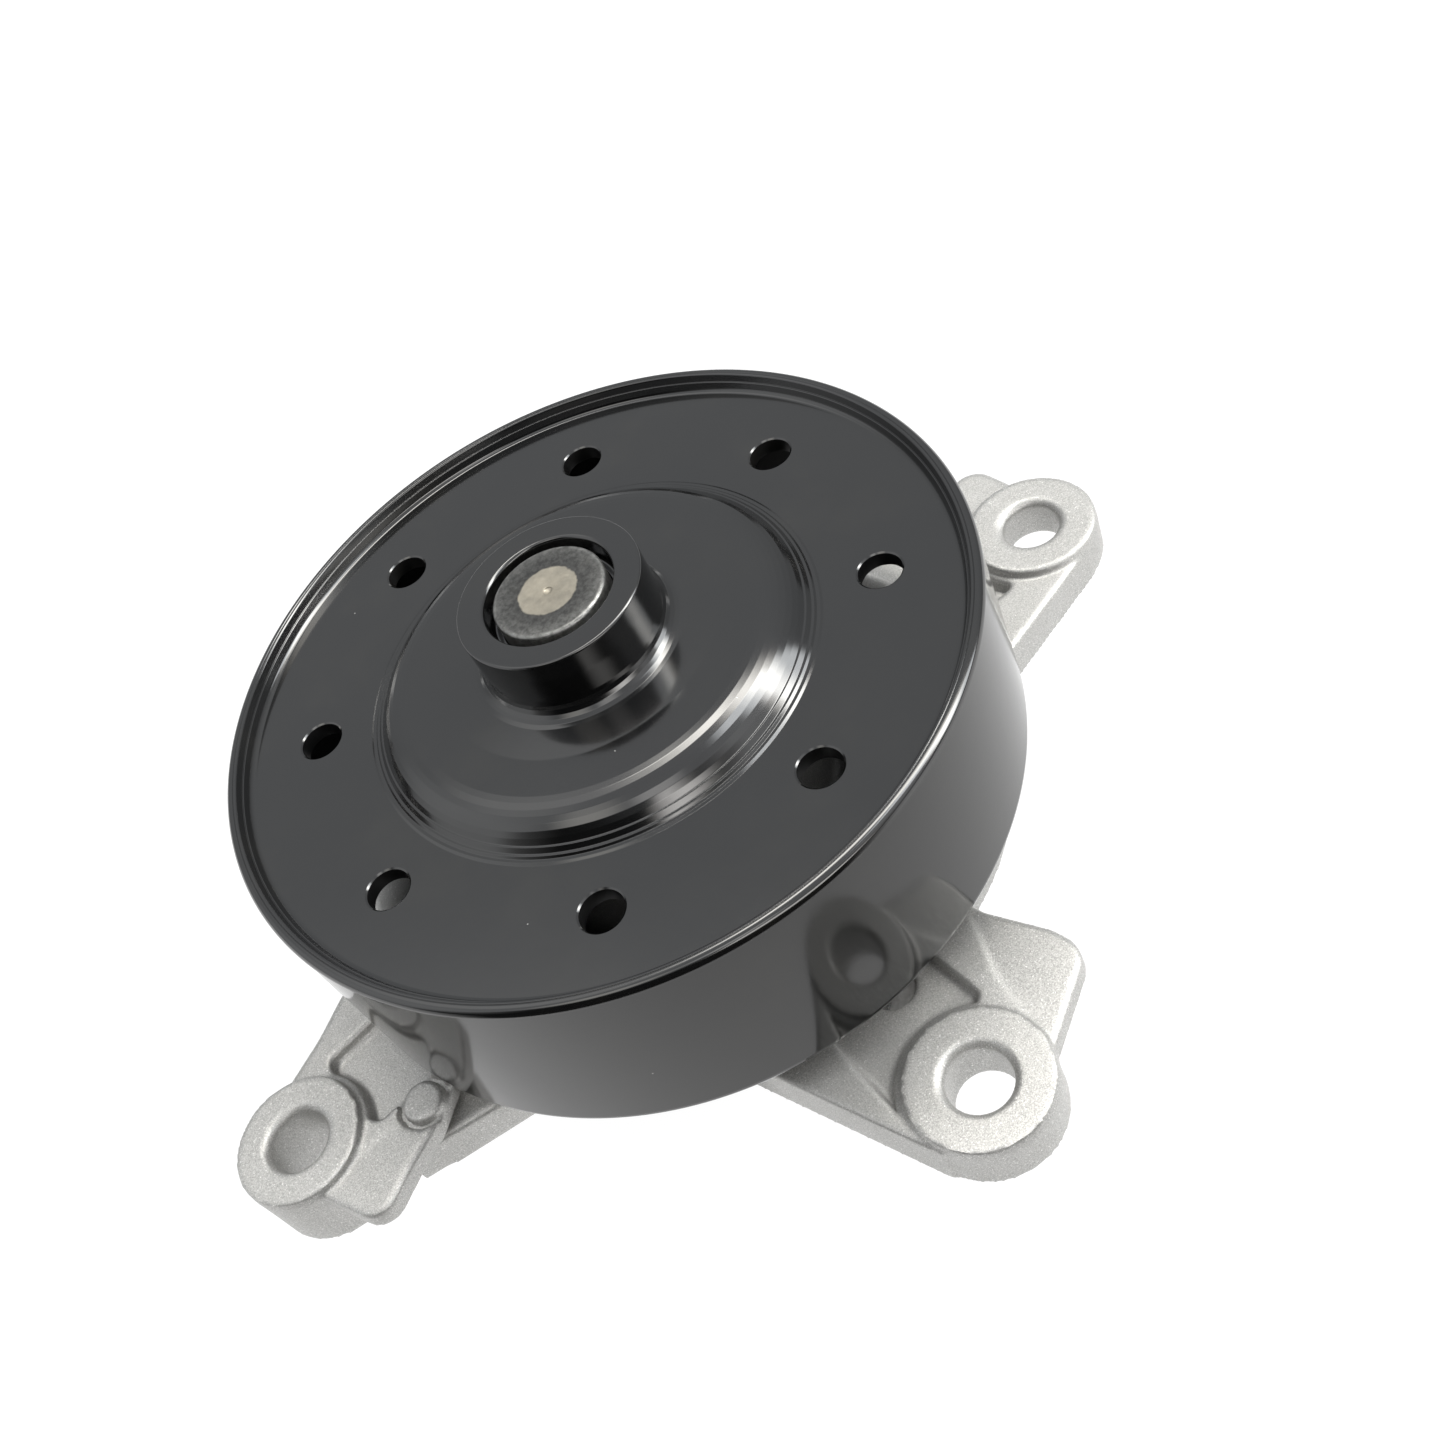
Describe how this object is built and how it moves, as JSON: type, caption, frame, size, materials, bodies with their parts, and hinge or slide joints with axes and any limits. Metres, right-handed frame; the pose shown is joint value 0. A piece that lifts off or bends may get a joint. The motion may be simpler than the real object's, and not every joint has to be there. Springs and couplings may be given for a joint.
{
  "type": "engine water pump",
  "caption": "Engine coolant pump: a smooth black belt drum pressed on a bearing shaft in a die-cast eared housing, with a shaft seal and a vaned impeller.",
  "frame": {"origin": "on the shaft axis, at the housing's mounting face", "axes": "+Z along the shaft towards the pulley, -Z into the engine; -Y is the side of the pictured front ear"},
  "size_m": [0.1608, 0.1557, 0.0866],
  "materials": {
    "cast_body": "blasted die casting",
    "black_coat": "semi-gloss black electro-coat on pressed steel",
    "shaft_steel": "ground, lightly stained end",
    "bearing_steel": "polished hardened steel",
    "hard_steel": "ground",
    "zinc_steel": "zinc plate",
    "spring_steel": "drawn wire",
    "seal_rubber": "matt",
    "brass": "pressed brass",
    "cage": "glass-filled nylon",
    "carbon": "lapped carbon graphite",
    "ceramic_ring": "lapped ceramic",
    "moulded_impeller": "glass-filled moulding"
  },
  "bodies": {
    "housing": {"housing": "cast_body", "face_gasket": "seal_rubber", "dowel_pins": "hard_steel", "drain_cap": "brass", "bearing_race": "bearing_steel", "front_bearing_seal": "seal_rubber", "rear_bearing_seal": "seal_rubber", "seal_case": "brass", "seal_spring": "spring_steel", "seal_bellows": "seal_rubber", "seal_band": "brass", "carbon_ring": "carbon"},
    "rotor": {"shaft": "shaft_steel", "pulley": "black_coat", "dust_slinger": "zinc_steel", "water_slinger": "seal_rubber", "mating_ring": "ceramic_ring", "mating_cup": "seal_rubber", "impeller_disc": "moulded_impeller", "impeller_bush": "brass"},
    "ball_row": {"front_balls": "bearing_steel", "front_cage": "cage"},
    "roller_row": {"rear_rollers": "bearing_steel", "rear_cage": "cage"}
  },
  "joints": [
    {"name": "rotor_spin", "type": "hinge", "parent": "housing", "child": "rotor", "pos_m": [0, 0, 0.02], "axis": [0, 0, 1], "continuous": true},
    {"name": "ball_row_orbit", "type": "hinge", "parent": "housing", "child": "ball_row", "pos_m": [0, 0, 0.031], "axis": [0, 0, 1], "continuous": true},
    {"name": "roller_row_orbit", "type": "hinge", "parent": "housing", "child": "roller_row", "pos_m": [0, 0, 0.0155], "axis": [0, 0, 1], "continuous": true}
  ],
  "couplings": [
    {"joint": "ball_row_orbit", "follows": "rotor_spin", "ratio": 0.3515},
    {"joint": "roller_row_orbit", "follows": "rotor_spin", "ratio": 0.4035}
  ]
}
